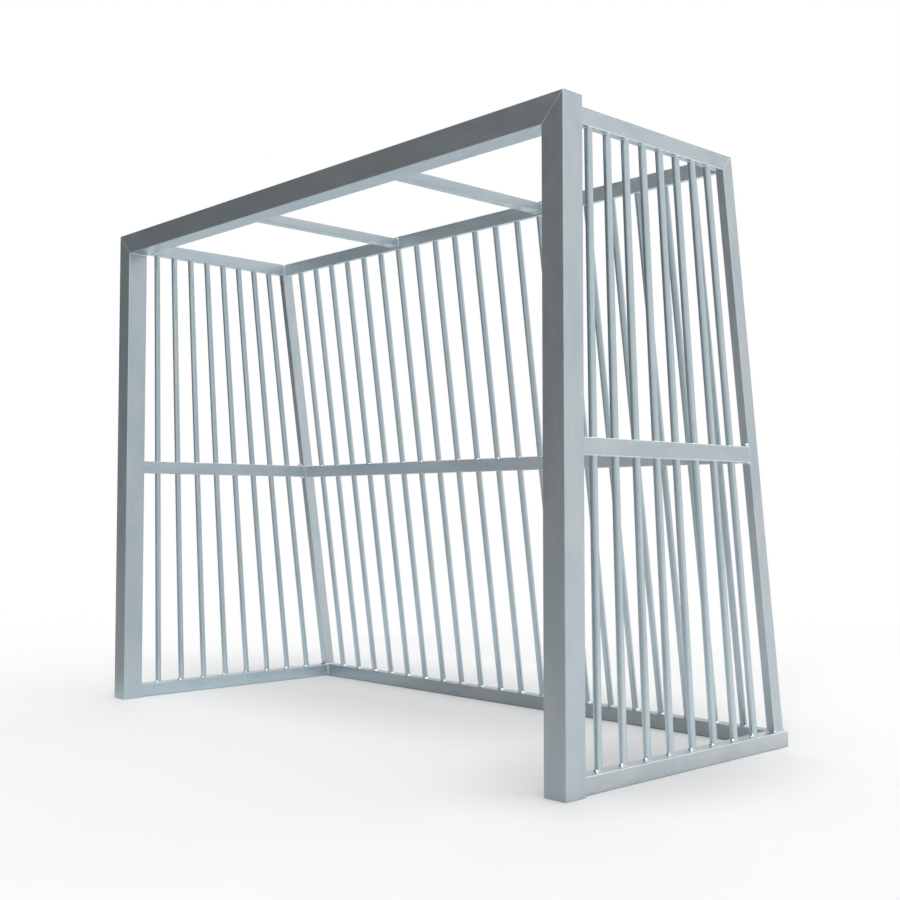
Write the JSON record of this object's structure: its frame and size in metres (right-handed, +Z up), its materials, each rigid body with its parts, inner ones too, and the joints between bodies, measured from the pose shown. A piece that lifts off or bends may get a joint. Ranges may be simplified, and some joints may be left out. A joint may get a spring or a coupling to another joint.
{
  "type": "soccer goal frame",
  "caption": "Free-standing welded steel soccer goal: square front frame, sloping rear posts, side and rear panels of round bars, open roof with cross ties.",
  "frame": {"origin": "middle of the bounding box on the floor", "axes": "+X to the goal's right seen by a shooter facing it, -Y out of the mouth towards the pitch, +Z up"},
  "size_m": [2.44, 1.092, 1.89],
  "materials": {
    "front_tube": "hot-dip galvanised, matt",
    "rail_tube": "hot-dip galvanised, matt",
    "round_bar": "hot-dip galvanised, matt",
    "weld_bead": "galvanised weld bead"
  },
  "bodies": {
    "root": {"left_post": "front_tube", "right_post": "front_tube", "crossbar": "front_tube", "left_side_top_rail": "rail_tube", "right_side_top_rail": "rail_tube", "left_side_middle_rail": "rail_tube", "right_side_middle_rail": "rail_tube", "left_side_base_rail": "rail_tube", "right_side_base_rail": "rail_tube", "left_rear_post": "rail_tube", "right_rear_post": "rail_tube", "rear_top_rail": "rail_tube", "rear_middle_rail": "rail_tube", "rear_base_rail": "rail_tube", "left_roof_tie": "rail_tube", "right_roof_tie": "rail_tube", "left_upper_bars": "round_bar", "left_lower_bars": "round_bar", "right_upper_bars": "round_bar", "right_lower_bars": "round_bar", "rear_upper_bars": "round_bar", "rear_lower_bars": "round_bar", "left_bar_welds": "weld_bead", "right_bar_welds": "weld_bead", "rear_bar_welds": "weld_bead", "front_frame_welds": "weld_bead", "left_frame_welds": "weld_bead", "right_frame_welds": "weld_bead", "rear_frame_welds": "weld_bead", "roof_tie_welds": "weld_bead"}
  },
  "joints": []
}
